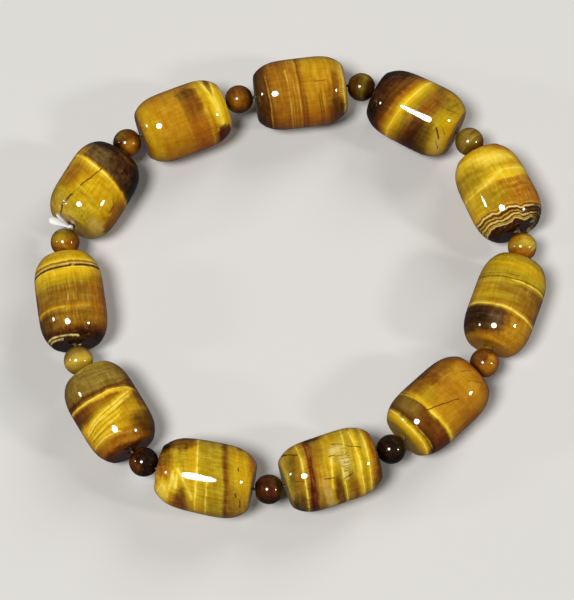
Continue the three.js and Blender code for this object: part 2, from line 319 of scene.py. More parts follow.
        "heading": -192, "length": 16.1, "diameter": 12.3, "lean": -0.3, "taper": -0.04, "crown": 0.45,
        "depth": 0.2, "grain": (0.88, 0.96, 0.66),
        "bands": [(-8.05, "honeyBrown"), (-7.2, "gold"), (-5.5, "gold"), (-4.4, "olive"), (-3.8, "toffee"),
            (-3.2, "olive"), (-1.5, "olive"), (0.6, "olive"), (1.5, "gold"), (2.1, "gold"), (4.0, "olive"),
            (6.0, "gold"), (8.05, "honeyBrown")],
        "patches": [(7.0, -0.4, 1.4, 1.7, 0.5, "brown", 0.75), (5.8, -4.8, 3.4, 2.7, 0.25, "brown", 0.85),
            (6.8, -6.4, 3.0, 1.5, 0.5, "pitch", 1.0), (7.8, -4.6, 1.3, 3.2, 0.4, "pitch", 0.95),
            (6.0, 1.8, 1.3, 1.2, 0.6, "honeyBrown", 0.6), (3.2, 4.7, 1.0, 1.1, 0.6, "brown", 0.75),
            (4.65, 3.0, 0.3, 0.8, 0.6, "toffee", 0.8), (-6.2, 4.6, 1.8, 2.4, 0.6, "hazel", 0.5),
            (3.4, 5.9, 1.4, 0.8, 0.5, "rust", 0.85), (6.8, 4.4, 1.6, 1.6, 0.5, "goldBright", 0.8),
            (6.7, 4.9, 1.1, 0.8, 0.6, "silk", 0.7), (-4.9, -5.8, 0.5, 1.2, 0.6, "brown", 0.6)],
        "streaks": [(-6.9, 4.3, -6.7, 3.7, 0.22, "umber", 0.9), (-6.0, 3.4, -5.8, 3.0, 0.26, "umber", 0.9),
            (-5.6, -0.6, -5.4, -1.2, 0.24, "umber", 0.9), (-2.6, 1.6, -0.4, 1.9, 0.14, "oliveDark", 0.6),
            (-1.6, -0.9, 0.4, -1.0, 0.14, "oliveDark", 0.5)],
        "threads": [([(-4.75, 6.0), (-3.9, 1.4), (-2.35, -4.75), (-2.0, -6.5)], 1.0, "brown", 0.9),
            ([(7.3, 4.3), (6.7, 3.7), (6.1, 3.95), (5.4, 5.0), (5.1, 3.6), (5.0, 1.6)], 0.48, "silk", 1.0),
            ([(4.95, 2.2), (4.15, 3.95), (4.3, 1.2), (3.05, 2.7), (1.95, 4.0), (1.2, 5.0)],
             0.48, "silk", 1.0),
            ([(0.55, 6.0), (1.1, 0.75), (2.3, -5.0), (2.6, -7)], 0.3, "silk", 0.95),
            ([(-0.86, 2.0), (-1.3, 6.1)], 0.32, "silk", 0.8),
            ([(7.9, -1.1), (5.0, -2.15), (2.0, -1.6), (-2.6, -1.55)], 0.15, "straw", 0.55),
            ([(-2.8, 5.1), (-5.8, 4.7)], 0.15, "straw", 0.5)],
        "dents": [(5.0, -3.1, 0.9, 0.25), (3.6, 6.0, 1.2, 0.3)],
    },
    # a fan of silky lines that ends on a bright arc, and a khaki end
    "barrel_bead_08": {
        "heading": -239, "length": 15.9, "diameter": 11.8, "lean": 0.15, "depth": 0.45,
        "grain": (0.77, 0.64, 0.55),
        "bands": [(-7.95, "brown"), (-7.2, "honeyBrown"), (-6.3, "toffee"), (-5.6, "honeyBrown"),
            (-5.0, "gold"), (-3.6, "gold"), (-2.4, "goldBright"), (-1.6, "gold"), (-0.6, "olive"),
            (0.8, "toffee"), (1.45, "goldBright"), (1.7, "brown"), (2.4, "brown"), (3.0, "beige"),
            (5.0, "beige"), (6.7, "beige"), (7.95, "straw")],
        "patches": [(0.7, 4.5, 1.5, 2.1, 0.45, "brown", 0.9), (0.5, 1.8, 0.8, 1.6, 0.6, "toffee", 0.6),
            (-3.9, -3.0, 2.6, 3.2, 0.6, "toffee", 0.5), (-5.8, -4.4, 2.3, 2.6, 0.5, "bark", 0.85),
            (-1.0, -6.0, 5.0, 1.4, 0.5, "brown", 0.8), (-4.0, 3.6, 1.8, 2.4, 0.6, "goldBright", 0.4)],
        "streaks": [(2.9, 5.0, 2.2, -3.4, 0.5, "bark", 0.6), (2.1, -3.4, 2.6, -5.6, 0.4, "bark", 0.8),
            (2.9, 5.0, 3.6, 4.9, 0.2, "umber", 0.9), (3.0, 4.4, 3.8, 4.2, 0.16, "umber", 0.8),
            (2.2, 1.8, 2.9, 1.6, 0.16, "umber", 0.7), (2.4, -1.0, 3.0, -4.5, 0.2, "oliveDark", 0.7)],
        "threads": [([(0.2, -3.9), (-0.9, -1.0), (-1.5, 1.6), (-2.2, 4.6)], 1.4, "goldBright", 0.75),
            ([(2.4, 6.2), (1.85, 3.4), (1.6, -1.0), (1.15, -3.9), (0.5, -5.0)], 0.28, "silk", 0.95),
            ([(0.3, -4.0), (-0.65, -1.6), (-1.1, 1.1), (-1.5, 3.3), (-2.1, 5.2)], 0.36, "silk", 0.9),
            ([(-0.2, -3.8), (-1.1, -1.0), (-1.5, 2.0), (-2.1, 4.6)], 0.16, "toffee", 0.7),
            ([(-0.5, -3.6), (-1.35, -0.8), (-1.75, 2.3), (-2.4, 5.3)], 0.24, "silk", 0.85),
            ([(-0.8, -3.4), (-1.7, -0.5), (-2.05, 2.6), (-2.6, 5.5)], 0.2, "silk", 0.7),
            ([(-1.5, -2.6), (-2.15, 0.8), (-2.35, 3.3), (-2.8, 5.2)], 0.22, "brown", 0.5),
            ([(-2.0, -1.8), (-2.6, 1.2), (-2.85, 4.0), (-3.1, 5.4)], 0.24, "goldBright", 0.8),
            ([(-2.6, -0.8), (-3.0, 1.6), (-3.25, 4.6)], 0.16, "toffee", 0.6),
            ([(-3.0, -0.6), (-3.2, 0.4), (-3.65, 3.6), (-3.7, 5.3)], 0.28, "silk", 0.7),
            ([(-3.8, 1.0), (-4.0, 3.2), (-3.95, 5.3)], 0.22, "toffee", 0.8),
            ([(-4.5, 2.0), (-4.4, 5.4)], 0.2, "goldBright", 0.6),
            ([(-5.5, 0.6), (-4.95, 3.4), (-4.85, 5.5)], 0.26, "silk", 0.7)],
    },
    # hazel, with a broken dark line at one end and two pale arcs at the other
    "barrel_bead_09": {
        "heading": -261, "length": 16.2, "diameter": 11.8, "lean": -0.02, "depth": 0.3,
        "grain": (0.77, 1.12, 0.55),
        "bands": [(-8.1, "umber"), (-7.2, "umber"), (-6.5, "brown"), (-5.8, "hazel"), (-4.4, "hazel"),
            (-3.6, "hazel"), (-2.9, "honey"), (-2.3, "hazel"), (-1.9, "hazel"), (0.6, "hazel"),
            (1.6, "olive"), (2.6, "gold"), (3.8, "goldBright"), (4.2, "toffee"), (4.7, "straw"),
            (5.2, "toffee"), (5.6, "goldBright"), (6.2, "gold"), (8.1, "gold")],
        "patches": [(-1.5, -5.2, 5.0, 1.6, 0.5, "honeyBrown", 0.8),
            (-5.4, 4.8, 2.0, 2.0, 0.5, "umber", 0.65)],
        "streaks": [(3.95, 7, 4.15, -7, 0.2, "silk", 0.8), (4.66, 7, 5.02, -7, 0.2, "cream", 0.8),
            (5.5, 7, 5.6, -7, 0.24, "silk", 0.6), (4.3, 7, 4.4, -0.9, 0.38, "pitch", 1.0),
            (4.43, -1.7, 4.72, -7, 0.42, "pitch", 1.0), (5.2, 7, 5.3, -7, 0.12, "brown", 0.7),
            (-2.85, 7, -2.9, 1, 0.35, "goldBright", 0.6), (-2.1, 7, -2.1, -7, 0.2, "brown", 0.25),
            (-4.0, 7, -4.1, -7, 0.24, "brown", 0.3), (-3.8, 0.8, -1.0, 0.2, 0.16, "goldBright", 0.6),
            (-2.0, -1.4, -0.6, -1.4, 0.2, "brown", 0.7), (-1.6, 2.0, 1.0, 1.9, 0.14, "brown", 0.5),
            (-6.9, 6.6, -7.8, -0.6, 0.3, "cream", 1.0), (-7.3, 6.2, -7.9, 2.0, 0.24, "cream", 0.9)],
    },
    # gold with a long crack, a bright arc and a smoky end
    "barrel_bead_10": {
        "heading": -299, "length": 15.3, "diameter": 12.3, "lean": 0.26, "grain": (0.77, 0.8, 0.99),
        "pits": (-6.4, 1.0, 1.6, 5.0),
        "bands": [(-7.65, "straw"), (-6.4, "olive"), (-5.5, "olive"), (-4.0, "gold"), (-3.4, "olive"),
            (-3.0, "gold"), (-1.0, "gold"), (1.2, "gold"), (2.0, "goldBright"), (2.4, "brown"), (3.2, "ash"),
            (5.2, "ash"), (6.2, "umber"), (7.65, "pitch")],
        "patches": [(-0.9, 3.7, 2.4, 1.6, 0.5, "toffee", 0.85), (4.9, -6.0, 3.9, 2.3, 0.35, "pitch", 1.0),
            (7.2, -1.0, 1.2, 6.0, 0.5, "pitch", 0.9), (4.0, 5.2, 1.6, 1.6, 0.5, "honey", 0.8),
            (4.8, -3.4, 3.0, 2.2, 0.6, "umber", 0.85), (0.5, 2.6, 1.0, 2.4, 0.6, "toffee", 0.5),
            (-6.4, 4.4, 1.4, 2.4, 0.6, "straw", 0.6), (-6.8, -5.2, 1.0, 1.8, 0.6, "cream", 0.55),
            (-3.6, -6.2, 3.8, 1.1, 0.5, "toffee", 0.75)],
        "streaks": [(3.3, 7, 2.55, 3.0, 0.4, "silk", 0.9), (2.55, 3.0, 1.3, -2.6, 0.36, "silk", 1.0),
            (1.3, -2.6, -0.2, -7, 0.34, "goldBright", 0.8), (-7.6, 2.1, -6.2, 2.2, 0.42, "umber", 1.0),
            (-6.2, 2.2, -4.3, 1.5, 0.36, "umber", 1.0), (-4.3, 1.5, -2.3, 1.0, 0.12, "umber", 0.6),
            (-2.3, 1.0, -0.3, 0.2, 0.28, "umber", 1.0), (-0.3, 0.2, 2.1, -0.6, 0.24, "umber", 1.0),
            (-3.2, 4, -3.7, -2.5, 0.3, "oliveDark", 0.25), (-3.4, -5.2, -2.2, -5.3, 0.3, "brown", 0.5),
            (-2.2, -5.3, -1.1, -4.7, 0.26, "brown", 0.5)],
    },
    # plain honey with a brown cloud and two bright lines that meet in a V
    "barrel_bead_11": {
        "heading": -338, "length": 15.6, "diameter": 12.1, "lean": 0.0, "depth": 0.25,
        "grain": (0.55, 0.48, 0.66),
        "bands": [(-7.8, "toffee"), (-6.8, "gold"), (-4.5, "honey"), (-2.0, "honey"), (0.0, "honey"),
            (0.8, "honeyBrown"), (3.2, "honeyBrown"), (3.6, "gold"), (4.6, "gold"), (5.2, "goldBright"),
            (6.4, "goldBright"), (7.0, "gold"), (7.8, "goldBright")],
        "patches": [(1.5, 2.3, 1.8, 1.2, 0.5, "bark", 0.8), (1.8, -0.6, 1.7, 2.4, 0.6, "brown", 0.75),
            (2.2, -4.8, 2.4, 2.2, 0.6, "amber", 0.7), (3.6, 4.6, 0.8, 1.8, 0.6, "gold", 0.6),
            (5.9, 3.6, 0.55, 3.4, 0.35, "brown", 0.95), (6.3, -5.7, 1.9, 1.2, 0.3, "garnet", 1.0),
            (-5.0, 4.6, 2.6, 1.6, 0.7, "amber", 0.4)],
        "streaks": [(4.6, 5.0, 5.5, 0, 0.42, "silk", 1.0), (5.5, 0, 5.8, -4.4, 0.5, "silk", 0.8),
            (7.0, 5.6, 6.0, 0, 0.4, "silk", 1.0), (6.0, 0, 6.1, -4.4, 0.5, "silk", 0.8),
            (3.65, 3, 3.85, -6, 0.24, "straw", 0.8), (4.3, -1.5, 4.6, -6, 0.3, "amber", 0.7),
            (0.0, 2.6, 2.6, 2.8, 0.8, "bark", 0.3), (-0.2, 1.2, 2.8, 1.3, 0.3, "beige", 0.5),
            (-0.8, 3.3, 2.8, 3.4, 0.2, "beige", 0.5)],
    },
}

# what all barrels share: mm, or shares of the belly's radius or of the half length
barrelShape = {
    "bore": 0.9, "lip": 0.25,  # radius of the bore and of its rounded mouth
    "bellyEnd": 0.955, "shoulderDrop": 0.34, "shoulderPower": 4.5,
    "endCorner": 0.665, "endFlat": 0.56, "skinFade": 0.2,
    "oval": 0.004, "lobes": 0.003, "lobeTwist": 0.25, "waveTurn": 0.7,  # hand-cut unevenness
    "taperReach": 4.0, "crackDepth": 0.05, "crackWidth": 0.16,
    "columns": 192, "bellyRows": 128, "edgeRows": 9, "flatRows": 8, "lipRows": 6, "wallRows": 8,
}


def roundBore(profile, columns):
    # x and radius of the profile at every angle round the bore; the angle starts upward and turns outward
    angle = np.linspace(0, 2 * math.pi, columns, endpoint=False)
    x, radius = (np.repeat(profile[:, k:k + 1], columns, 1) for k in (0, 1))
    return x, radius, angle


def onLoop(middle, heading, x, y, z):
    # from the bead to the loop: x along the bore, y out of the loop, z up
    axes = np.stack([headed(heading), headed(heading + 90), up])
    return middle + np.stack([x, y, z], -1) @ axes


def bend(start, corner, end, rows):
    # curve that leaves start toward the corner and reaches end from it, without its first point
    s = np.linspace(0, 1, rows)[1:, None]
    return (1 - s) ** 2 * np.array(start) + 2 * s * (1 - s) * np.array(corner) + s ** 2 * np.array(end)


def barrelProfile(half, radius, shape):
    # belly radius x (1 - shoulderDrop |t|^shoulderPower) with t the share of the half length, then a bend
    # into the flat end, a bend into the bore, the bore's wall and the other end
    bore, lip, flatRadius = shape["bore"], shape["lip"], radius * shape["endFlat"]
    t = np.linspace(-shape["bellyEnd"], shape["bellyEnd"], shape["bellyRows"])
    fall = shape["shoulderDrop"] * np.abs(t) ** shape["shoulderPower"]
    belly = np.stack([t * half, radius * (1 - fall)], 1)
    edge = bend(belly[-1], (half, radius * shape["endCorner"]), (half, flatRadius), shape["edgeRows"])
    flat = np.linspace((half, flatRadius), (half, bore + lip), shape["flatRows"])[1:]
    mouth = bend((half, bore + lip), (half, bore), (half - lip, bore), shape["lipRows"])
    end = np.concatenate([edge, flat, mouth])
    wall = np.linspace((half - lip, bore), (lip - half, bore), shape["wallRows"])[1:-1]
    return np.concatenate([belly, end, wall, (end * [-1, 1])[::-1]])


def pressed(y, z, away, depth):
    # the upper skin sinks toward the bore by depth x e^(-away^2), with depth a share of the radius
    left = 1 - depth * np.exp(-away ** 2) * (z >= 0)
    return y * left, z * left


def barrelSurface(middle, spec, shape=barrelShape):
    # the profile carried round the bore, uneven by one wave of two turns and one of three;
    # the upper side tapers along x and sinks by crown x t^2, then dents and cracks are pressed in
    half, radius = spec["length"] / 2, spec["diameter"] / 2
    x, r, angle = roundBore(barrelProfile(half, radius, shape), shape["columns"])
    onSkin = np.clip((r / radius - shape["endFlat"]) / shape["skinFade"], 0, 1)
    turn = spec["heading"] * shape["waveTurn"]
    oval = shape["oval"] * np.cos(2 * angle + turn)
    lobes = shape["lobes"] * np.sin(3 * angle + turn + x * shape["lobeTwist"])
    taper = spec.get("taper", 0.0) * np.clip(x, -shape["taperReach"], shape["taperReach"])
    crown = spec.get("crown", 0.0) * (x / half) ** 2
    upper = 0.5 + 0.5 * np.cos(angle)
    r = r * (1 + onSkin * (oval + lobes)) + onSkin * upper * (taper - crown)
    y, z = r * np.sin(angle), r * np.cos(angle)
    for dentX, dentY, size, depth in spec.get("dents", []):
        y, z = pressed(y, z, np.hypot(x - dentX, y - dentY) / size, depth / radius)
    for startX, startY, endX, endY, width, tint, share in spec["streaks"]:
        runX, runY = endX - startX, endY - startY
        if tint == crackTint and abs(runX) > abs(runY):
            reach = ((x - startX) * runX + (y - startY) * runY) / (runX ** 2 + runY ** 2)
            reach = np.clip(reach, 0, 1)
            away = np.hypot(x - startX - reach * runX, y - startY - reach * runY)
            y, z = pressed(y, z, away / shape["crackWidth"], shape["crackDepth"] / radius)
    return onLoop(middle, spec["heading"], x, y, z)


# noises of the stone: cycles per mm along x, y and z, and octaves
stoneNoise = {
    "wave": ((0.08, 0.38, 0.38), 2.0),  # slow wander of the bands
    "fibre": ((0.3, 2.6, 2.6), 3.0),  # fibres 0.4 mm wide and 3 mm long
    "mottle": ((0.7, 0.7, 0.7), 3.0),  # clouds 1.4 mm across
    "ripple": ((0.02, 0.5, 0.5), 1.5),  # folds 2 mm apart
    "lamina": ((1.7, 0.16, 0.16), 3.0),  # layers 0.1 to 0.6 mm thick
}
noiseRoughness = 0.6
# how far wave and fibre move a marking along the bore and mottle moves it across, in mm
stoneShake = {
    "bands": (0.9, 0.4, 0.0), "patches": (0.9, 0.4, 2.4), "streaks": (0.3, 0.14, 0.6),
    "layers": (0.9, 0.0, 0.0),
}
# how the markings are painted; edges are in widths of the line
stonePaint = {
    "streakEdge": 0.75, "contourEdge": (0.1, 0.7),
    "paintedSheen": {"around": "silk", "edge": 2.2, "share": 0.45, "tint": "goldBright"},  # painted sheen: a lit fibre band is given a bright halo
    "clouds": {"range": (0.36, 0.56), "left": 0.45},  # a bright line is broken up by the mottle
    "pits": {"stretch": (1.0, 2.2, 2.2), "perMm": 1.1, "edge": (0.12, 0.3), "soft": 0.4, "share": 0.85,
             "tint": "oliveDark"},  # specks 0.3 mm across
    "grain": (0.8, 0.3, 0.8), "depth": 0.4,  # where a recipe gives none; depth is the strength of the painted shade
    "paintedShadeHeight": 0.47,  # height over the bore, as a share of the diameter, where the painted shade starts
}


def shakenPlaces(add, local, seed):
    # the noises, the shake they give, and where each kind of marking is read after it
    noise, moved = {}, {}
    for pattern in ("wave", "fibre", "mottle", "ripple"):
        cycles, octaves = stoneNoise[pattern]
        scaled = add("VectorMath", {0: local, 1: cycles, 2: seed}, operation="MULTIPLY_ADD")
        noise[pattern] = add("TexNoise", {"Vector": scaled, "Scale": 1.0, "Detail": octaves,
                                          "Roughness": noiseRoughness})
    loose = add("CombineXYZ", {0: noise["wave"], 1: noise["fibre"], 2: noise["mottle"]})
    shake = add("VectorMath", {0: loose, 1: (0.5, 0.5, 0.5)}, operation="SUBTRACT")
    for marking, (byWave, byFibre, byMottle) in stoneShake.items():
        along = add("VectorMath", {0: shake, 1: (byWave, byFibre, 0)}, "Value", operation="DOT_PRODUCT")
        across = add("VectorMath", {0: shake, 1: (0, 0, byMottle)}, "Value", operation="DOT_PRODUCT")
        step = add("CombineXYZ", {0: along, 1: across})
        moved[marking] = add("VectorMath", {0: local, 1: step}, operation="ADD")
    return noise, shake, moved


def patchAway(add, place, patchX, patchY, halfX, halfY):
    # distance from the middle of an ellipse, 1 on its outline
    shift = (-patchX / halfX, -patchY / halfY, 0)
    away = add("VectorMath", {0: place, 1: (1 / halfX, 1 / halfY, 0), 2: shift}, operation="MULTIPLY_ADD")
    return add("VectorMath", {0: away}, "Value", operation="LENGTH")


def streakAway(add, place, startX, startY, endX, endY):
    # distance from a straight streak: the point is dropped onto the streak and the way to it measured
    run = np.array([endX - startX, endY - startY, 0.0])
    offset = add("VectorMath", {0: place, 1: (1, 1, 0), 2: (-startX, -startY, 0)}, operation="MULTIPLY_ADD")
    reach = add("VectorMath", {0: offset, 1: tuple(run / run.dot(run))}, "Value", operation="DOT_PRODUCT")
    reach = add("Math", {0: reach, 1: 0.0}, operation="ADD", use_clamp=True)
    foot = add("VectorMath", {0: tuple(run), "Scale": reach}, operation="SCALE")
    return add("VectorMath", {0: offset, 1: foot}, "Value", operation="DISTANCE")


def stoneMarkings(add, local, noise, moved, spec):
    # the markings in the order of painting: distance, where the paint starts and stops to fade, share, tint
    # and what it is multiplied by, if anything
    paint = stonePaint
    clouds, paintedSheen, pits = paint["clouds"], paint["paintedSheen"], paint["pits"]

    def patchMarks(patches):
        for *ellipse, soft, tint, share in patches:
            away = patchAway(add, moved["patches"], *ellipse)
            marks.append((away, 1 - soft, 1 + soft, share, tint, None))

    marks = []
    patchMarks(spec.get("patches", []))
    broken = add("MapRange", {"Value": noise["mottle"], "From Min": clouds["range"][0],
                              "From Max": clouds["range"][1], "To Min": clouds["left"], "To Max": 1.0},
                 interpolation_type="SMOOTHSTEP")
    streaks = list(spec.get("streaks", []))
    for points, *look in spec.get("threads", []):
        streaks += [(*a, *b, *look) for a, b in zip(points, points[1:])]
    for *ends, width, tint, share in streaks:
        away = streakAway(add, moved["streaks"], *ends)
        # painted sheen: a goldBright halo round each silk streak, broken by the mottle
        if tint == paintedSheen["around"]:
            marks.append((away, 0.0, paintedSheen["edge"] * width, paintedSheen["share"] * share, paintedSheen["tint"], broken))
        dimmed = broken if tint in brightTints else None
        marks.append((away, 0.0, paint["streakEdge"] * width, share, tint, dimmed))
    if "contours" in spec:  # folded lines share one ripple, so they stay parallel
        level = add("VectorMath", {0: local, 1: spec["contourLean"]}, "Value", operation="DOT_PRODUCT")
        height = spec["ripple"]
        fold = add("Math", {0: noise["ripple"], 1: height, 2: -0.5 * height}, operation="MULTIPLY_ADD")
        folded = add("Math", {0: level, 1: fold}, operation="ADD")
        near, far = paint["contourEdge"]
        for at, width, tint, share in spec["contours"]:
            beside = add("Math", {0: folded, 1: at}, operation="SUBTRACT")
            away = add("Math", {0: beside}, operation="ABSOLUTE")
            marks.append((away, near * width, far * width, share, tint, None))
    patchMarks(spec.get("shades", []))
    if "pits" in spec:
        stretchedPaintedShade = add("VectorMath", {0: local, 1: pits["stretch"]}, operation="MULTIPLY")
        spots = add("TexVoronoi", {"Vector": stretchedPaintedShade, "Scale": pits["perMm"]}, "Distance")
        field = add("MapRange", {"Value": patchAway(add, moved["patches"], *spec["pits"]),
                                 "From Min": 1 - pits["soft"], "From Max": 1 + pits["soft"],
                                 "To Min": 1.0, "To Max": 0.0}, interpolation_type="SMOOTHSTEP")
        marks.append((spots, *pits["edge"], pits["share"], pits["tint"], field))
    return marks


def tigersEye(name, middle, spec):
    # Tiger's eye: quartz with fine parallel fibres, cut, tumbled and polished to a wet gloss.
    # The eye sees coloured bands across the bore, silky fibres along it and a clear hard shine on top.
    material, add = newMaterial(name)
    half = spec["length"] / 2
    local = add("Mapping", {"Vector": add("TexCoord", {}, "Object"), "Location": tuple(middle * mm),
                            "Rotation": (0, 0, math.radians(spec["heading"])), "Scale": (mm, mm, mm)},
                vector_type="TEXTURE")
    y, z = add("SeparateXYZ", {0: local}).node.outputs[1:]
    seed = (spec["heading"] * 1.37, spec["heading"] * 0.411, 7.0)  # each bead is cut from another spot
    noise, shake, moved = shakenPlaces(add, local, seed)

    # bands: a ramp along the bore, leaning across it
    lean = np.array([1.0, -spec.get("lean", 0.0), 0.0])
    perBand = tuple(lean * 0.5 / half)
    place = add("VectorMath", {0: moved["bands"], 1: perBand}, "Value", operation="DOT_PRODUCT")
    colour = add("ValToRGB", {0: add("Math", {0: place, 1: 0.5}, operation="ADD", use_clamp=True)})
    stops = colour.node.color_ramp.elements
    while len(stops) < len(spec["bands"]):
        stops.new(0.5)
    for stop, (at, tint) in zip(stops, spec["bands"]):
        stop.position, stop.color = 0.5 + 0.5 * at / half, linear(tints[tint])

    for away, near, far, share, tint, dimmed in stoneMarkings(add, local, noise, moved, spec):
        mask = add("MapRange", {"Value": away, "From Min": near, "From Max": far, "To Min": share,
                                "To Max": 0.0}, interpolation_type="SMOOTHSTEP")
        if dimmed is not None:
            mask = add("Math", {0: mask, 1: dimmed}, operation="MULTIPLY")
        paint = linear(tints[tint])
        colour = add("Mix", {"Factor": mask, "A": colour, "B": paint}, "Result", data_type="RGBA")

    # dark layers go redder and bright ones paler, as a power of the tint
    cycles, octaves = stoneNoise["lamina"]
    level = add("VectorMath", {0: moved["layers"], 1: tuple(lean)}, "Value", operation="DOT_PRODUCT")
    layered = add("CombineXYZ", {0: level, 1: y, 2: z})
    scaled = add("VectorMath", {0: layered, 1: cycles, 2: seed}, operation="MULTIPLY_ADD")
    lamina = add("TexNoise", {"Vector": scaled, "Scale": 1.0, "Detail": octaves, "Roughness": noiseRoughness})
    inLayers, inFibres, inClouds = spec.get("grain", stonePaint["grain"])
    layer = add("Math", {0: lamina, 1: -inLayers, 2: 1 + inLayers / 2}, operation="MULTIPLY_ADD")
    texture = add("VectorMath", {0: shake, 1: (0, -inFibres, -inClouds)}, "Value", operation="DOT_PRODUCT")
    # painted shade: the tint goes darker and redder from a set height over the bore down to its level, and
    # stays so below
    paintedShadeHeight, paintedShadeMost = stonePaint["paintedShadeHeight"] * spec["diameter"], spec.get("depth", stonePaint["depth"])
    depth = add("MapRange", {"Value": z, "From Min": 0.0, "From Max": paintedShadeHeight, "To Min": paintedShadeMost,
                             "To Max": 0.0}, interpolation_type="SMOOTHSTEP")
    power = add("Math", {0: add("Math", {0: layer, 1: texture}, operation="ADD"), 1: depth}, operation="ADD")
    colour = add("Gamma", {"Color": colour, "Gamma": power})
    # the coat is the polished skin of the quartz, the body under it the silky fibres
    shader = add("BsdfPrincipled", {
        "Base Color": colour, "Metallic": 0.0, "Roughness": 0.42, "IOR": 1.54, "Specular IOR Level": 0.1,
        "Specular Tint": linear("#ffbf2e"), "Anisotropic": 0.7,
        "Tangent": add("Tangent", {}, direction_type="UV_MAP", uv_map="around"),
        "Coat Weight": 1.0, "Coat Roughness": 0.03, "Coat IOR": 1.54,
        "Normal": add("Bump", {"Strength": 0.15, "Distance": 0.05 * mm, "Height": noise["fibre"]})})
    add("OutputMaterial", {"Surface": shader})
    return material


def putBead(node, spec, surface, stoneName):
    middle = middleOf(node)
    stone = tigersEye(stoneName + "_" + node[-2:], middle, spec)
    bead = putGrid(node + "_polished", surface(middle, spec), stone)
    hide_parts(node)
    return bead


for node, spec in barrelBeads.items():
    bead = putBead(node, spec, barrelSurface, "polishedTigersEye")
print("barrel beads made:", len(barrelBeads))

# spacer beads: heading of the bore, and markings as for the barrels
spacerBeads = {
    "spacer_bead_01": {
        "heading": -10.5,
        "bands": [(-2.5, "bark"), (-1.0, "bark"), (0.2, "oliveDark"), (1.0, "bark"), (2.5, "umber")],
        "patches": [(0.2, 1.4, 1.4, 0.8, 0.6, "oliveDark", 0.7)],
        "streaks": [(-1.4, 1.2, 1.2, 1.6, 0.16, "beige", 0.5)],
    },
    "spacer_bead_02": {
        "heading": -47.5,
        "bands": [(-2.5, "oliveDark"), (-0.8, "beige"), (0.4, "beige"), (1.4, "oliveDark"), (2.5, "brown")],
        "streaks": [(-0.4, 1.8, -0.2, 0.2, 0.4, "bark", 0.7), (0.5, 3, 0.7, -3, 0.2, "straw", 0.5)],
    },
    "spacer_bead_03": {
        "heading": -88,
        "bands": [(-2.5, "brown"), (-1.4, "toffee"), (0.0, "olive"), (1.0, "toffee"), (2.5, "amber")],
        "patches": [(-0.2, -1.2, 1.6, 0.9, 0.6, "rust", 0.3), (0.0, 0.9, 1.5, 1.4, 0.6, "straw", 0.5)],
        "streaks": [(-1.2, 2.4, 0.4, 0.4, 0.2, "straw", 0.8), (-0.6, 2.6, 0.9, 0.8, 0.18, "straw", 0.7),
            (0.2, 2.4, 1.3, 1.4, 0.2, "cream", 0.6)],
    },
    "spacer_bead_04": {
        "heading": -123.5,
        "bands": [(-2.5, "rust"), (-0.6, "brown"), (0.6, "brown"), (2.5, "rust")],
        "patches": [(0.2, 1.9, 2.2, 1.7, 0.3, "honeyBrown", 0.9)],
    },
    "spacer_bead_05": {
        "heading": -149,
        "bands": [(-2.5, "pitch"), (2.5, "pitch")],
    },
    "spacer_bead_06": {
        "heading": -176.5,
        "bands": [(-2.5, "pitch"), (-1.0, "umber"), (1.0, "umber"), (2.5, "pitch")],
        "patches": [(0.0, 1.2, 1.4, 0.8, 0.7, "garnet", 0.35)],
    },
    "spacer_bead_07": {
        "heading": -215.5,
        "bands": [(-2.5, "pitch"), (0.0, "pitch"), (1.5, "umber"), (2.5, "brown")],
        "patches": [(0.6, 2.0, 1.6, 0.7, 0.6, "brown", 0.7)],
    },
    "spacer_bead_08": {
        "heading": -250, "grain": (0.44, 0.32, 0.44),
        "bands": [(-2.5, "beige"), (-0.5, "straw"), (0.8, "beige"), (2.5, "beige")],
    },
    "spacer_bead_09": {
        "heading": -280,
        "bands": [(-2.5, "brown"), (-0.6, "toffee"), (0.6, "oliveDark"), (2.5, "bark")],
        "patches": [(0.0, -2.2, 2.0, 1.0, 0.5, "rust", 0.6), (-0.2, 0.8, 1.2, 1.4, 0.7, "olive", 0.6)],
    },
    "spacer_bead_10": {
        "heading": -318.5,
        "bands": [(-2.5, "umber"), (-0.6, "bark"), (0.8, "brown"), (2.5, "brown")],
        "patches": [(-0.2, -1.7, 1.7, 1.1, 0.5, "honeyBrown", 0.85),
            (0.3, 1.6, 1.6, 0.9, 0.6, "oliveDark", 0.6)],
    },
    "spacer_bead_11": {
        "heading": -345,
        "bands": [(-2.5, "bark"), (-0.8, "brown"), (0.6, "brown"), (2.5, "bark")],
        "patches": [(0.2, -1.2, 1.4, 0.9, 0.7, "toffee", 0.7)],
    },
}
spacerShape = {"length": 5.0, "diameter": 5.0, "bore": 0.8, "lip": 0.06, "wallInset": 0.12,
               "skinRows": 56, "wallRows": 6, "columns": 72}


def spacerSurface(middle, spec, shape=spacerShape):
    # half a circle carried round the bore, from mouth to mouth, with the bore's wall closing it;
    # lip is the angle that the mouth opens beyond the bore
    radius, bore, inset = shape["diameter"] / 2, shape["bore"], shape["wallInset"]
    start = math.asin(bore / radius) + shape["lip"]
    swing = np.linspace(start, math.pi - start, shape["skinRows"])
    skin = np.stack([-radius * np.cos(swing), radius * np.sin(swing)], 1)
    wall = np.linspace((skin[-1, 0] - inset, bore), (skin[0, 0] + inset, bore), shape["wallRows"])
    x, r, angle = roundBore(np.concatenate([skin, wall]), shape["columns"])
    return onLoop(middle, spec["heading"], x, r * np.sin(angle), r * np.cos(angle))


for node, markings in spacerBeads.items():
    spec = {"length": spacerShape["length"], "diameter": spacerShape["diameter"], **markings}
    bead = putBead(node, spec, spacerSurface, "polishedTigersEyeSpacer")
print("spacer beads made:", len(spacerBeads))

